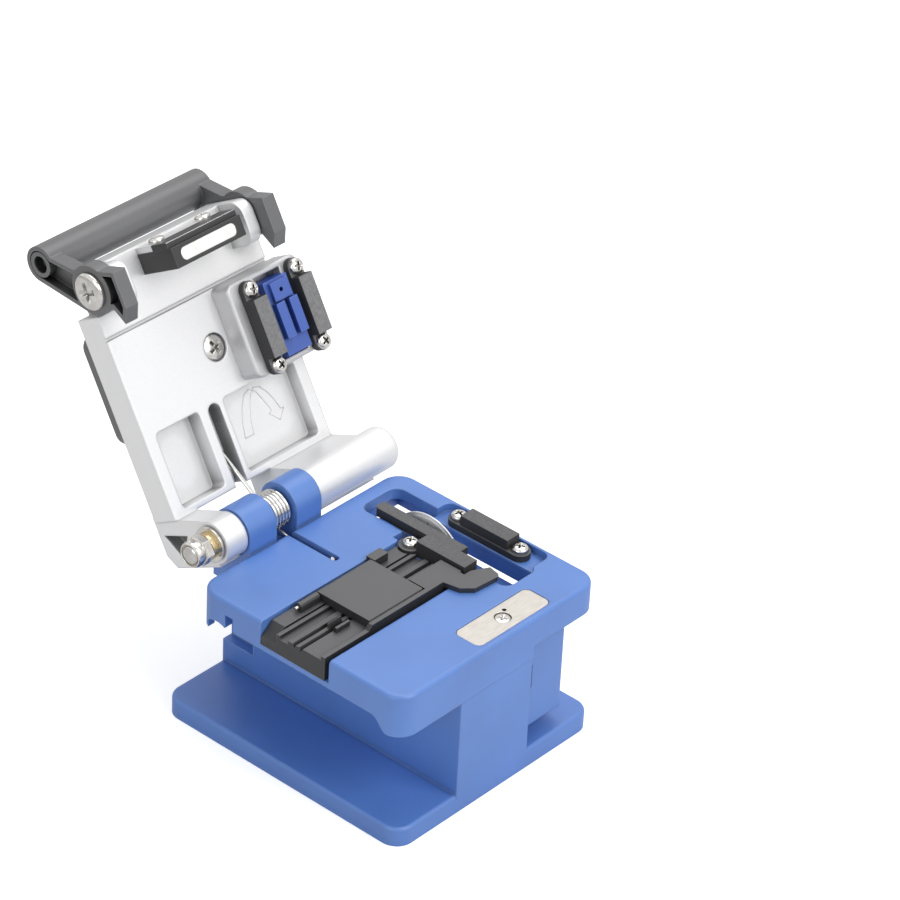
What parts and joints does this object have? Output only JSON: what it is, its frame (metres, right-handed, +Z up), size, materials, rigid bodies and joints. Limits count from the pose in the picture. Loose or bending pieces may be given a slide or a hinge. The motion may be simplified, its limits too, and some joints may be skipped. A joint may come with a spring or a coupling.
{
  "type": "fibre cleaver",
  "caption": "Desktop fibre cleaver: skirted table on a column stand, hinged lid with clamps and sprung anvil, bail handle, and a round blade on a sliding carriage.",
  "frame": {"origin": "middle of the base's underside, on the surface that the cleaver stands on", "axes": "+X along the hinge shaft and the fibre, from the nut towards the closed barrel; +Y from the user to the hinge; +Z up"},
  "size_m": [0.0607, 0.112, 0.0924],
  "materials": {
    "blue_plastic": "fine satin moulded blue",
    "grey_plastic": "fine-textured dark grey",
    "black_plastic": "satin black",
    "black_rubber": "matte black",
    "lid_alloy": "bead-blasted silver",
    "anvil_blue": "bright blue",
    "screw_steel": "bright plated",
    "spring_steel": "drawn wire",
    "plate_steel": "ground",
    "blade_steel": "lapped carbide",
    "bush_brass": "turned",
    "magnet": "nickel-plated magnet"
  },
  "bodies": {
    "base": {"base_stand": "blue_plastic", "table_top": "blue_plastic", "body_screws": "screw_steel", "strike_plate": "plate_steel", "strike_screw": "screw_steel", "lower_left_clamp": "black_rubber", "lower_left_clamp_screw": "screw_steel", "lower_right_clamp": "black_rubber", "lower_right_clamp_screws": "screw_steel", "fibre_holder": "grey_plastic", "holder_screws": "screw_steel", "holder_magnet": "magnet", "cover_pin": "screw_steel", "hinge_shaft": "screw_steel", "hinge_washer": "screw_steel", "hinge_nut": "screw_steel", "hinge_spring": "spring_steel", "slide_rail": "plate_steel", "rail_screws": "screw_steel"},
    "lid": {"lid_casting": "lid_alloy", "lid_bush": "bush_brass", "clamp_block": "lid_alloy", "clamp_block_screws": "screw_steel", "upper_left_clamp": "black_rubber", "upper_left_clamp_screws": "screw_steel", "upper_right_clamp": "black_rubber", "upper_right_clamp_screws": "screw_steel", "magnet_holder": "black_plastic", "lid_magnet": "magnet", "magnet_screws": "screw_steel", "grip_pad": "grey_plastic", "grip_pad_screw": "screw_steel", "anvil_springs": "spring_steel", "bail_screws": "screw_steel", "hinge_spring_lid_leg": "spring_steel"},
    "bail": {"bail_handle": "grey_plastic"},
    "anvil_tongue": {"anvil": "anvil_blue"},
    "cover": {"holder_cover": "grey_plastic", "cover_keeper": "plate_steel"},
    "carriage": {"blade_carriage": "blue_plastic", "slide_block": "plate_steel", "carriage_screws": "screw_steel", "blade_arbor": "plate_steel", "blade_clamp_screw": "screw_steel"},
    "blade": {"cleaving_blade": "blade_steel"}
  },
  "joints": [
    {"name": "lid_hinge", "type": "hinge", "parent": "base", "child": "lid", "pos_m": [0, 0.0274, 0.0404], "axis": [1, 0, 0], "range_deg": [0, 120.2], "stiffness_Nm_per_rad": 0.03, "springref_deg": -20.05},
    {"name": "bail_pivot", "type": "hinge", "parent": "lid", "child": "bail", "pos_m": [0, 0.06078, 0.08542], "axis": [1, 0, 0], "range_deg": [0, 12]},
    {"name": "anvil_press", "type": "slide", "parent": "lid", "child": "anvil_tongue", "axis": [0, 0.8643, -0.503], "range_m": [0, 0.0018], "stiffness_N_per_m": 600, "springref_m": -0.001},
    {"name": "cover_hinge", "type": "hinge", "parent": "base", "child": "cover", "pos_m": [0, 0.0028, 0.0375], "axis": [-1, 0, 0], "range_deg": [0, 35]},
    {"name": "carriage_slide", "type": "slide", "parent": "base", "child": "carriage", "axis": [0, 1, 0], "range_m": [-0.0162, 0.0048]},
    {"name": "blade_index", "type": "hinge", "parent": "carriage", "child": "blade", "pos_m": [0.0182, 0.0042, 0.0296], "axis": [1, 0, 0], "continuous": true}
  ]
}
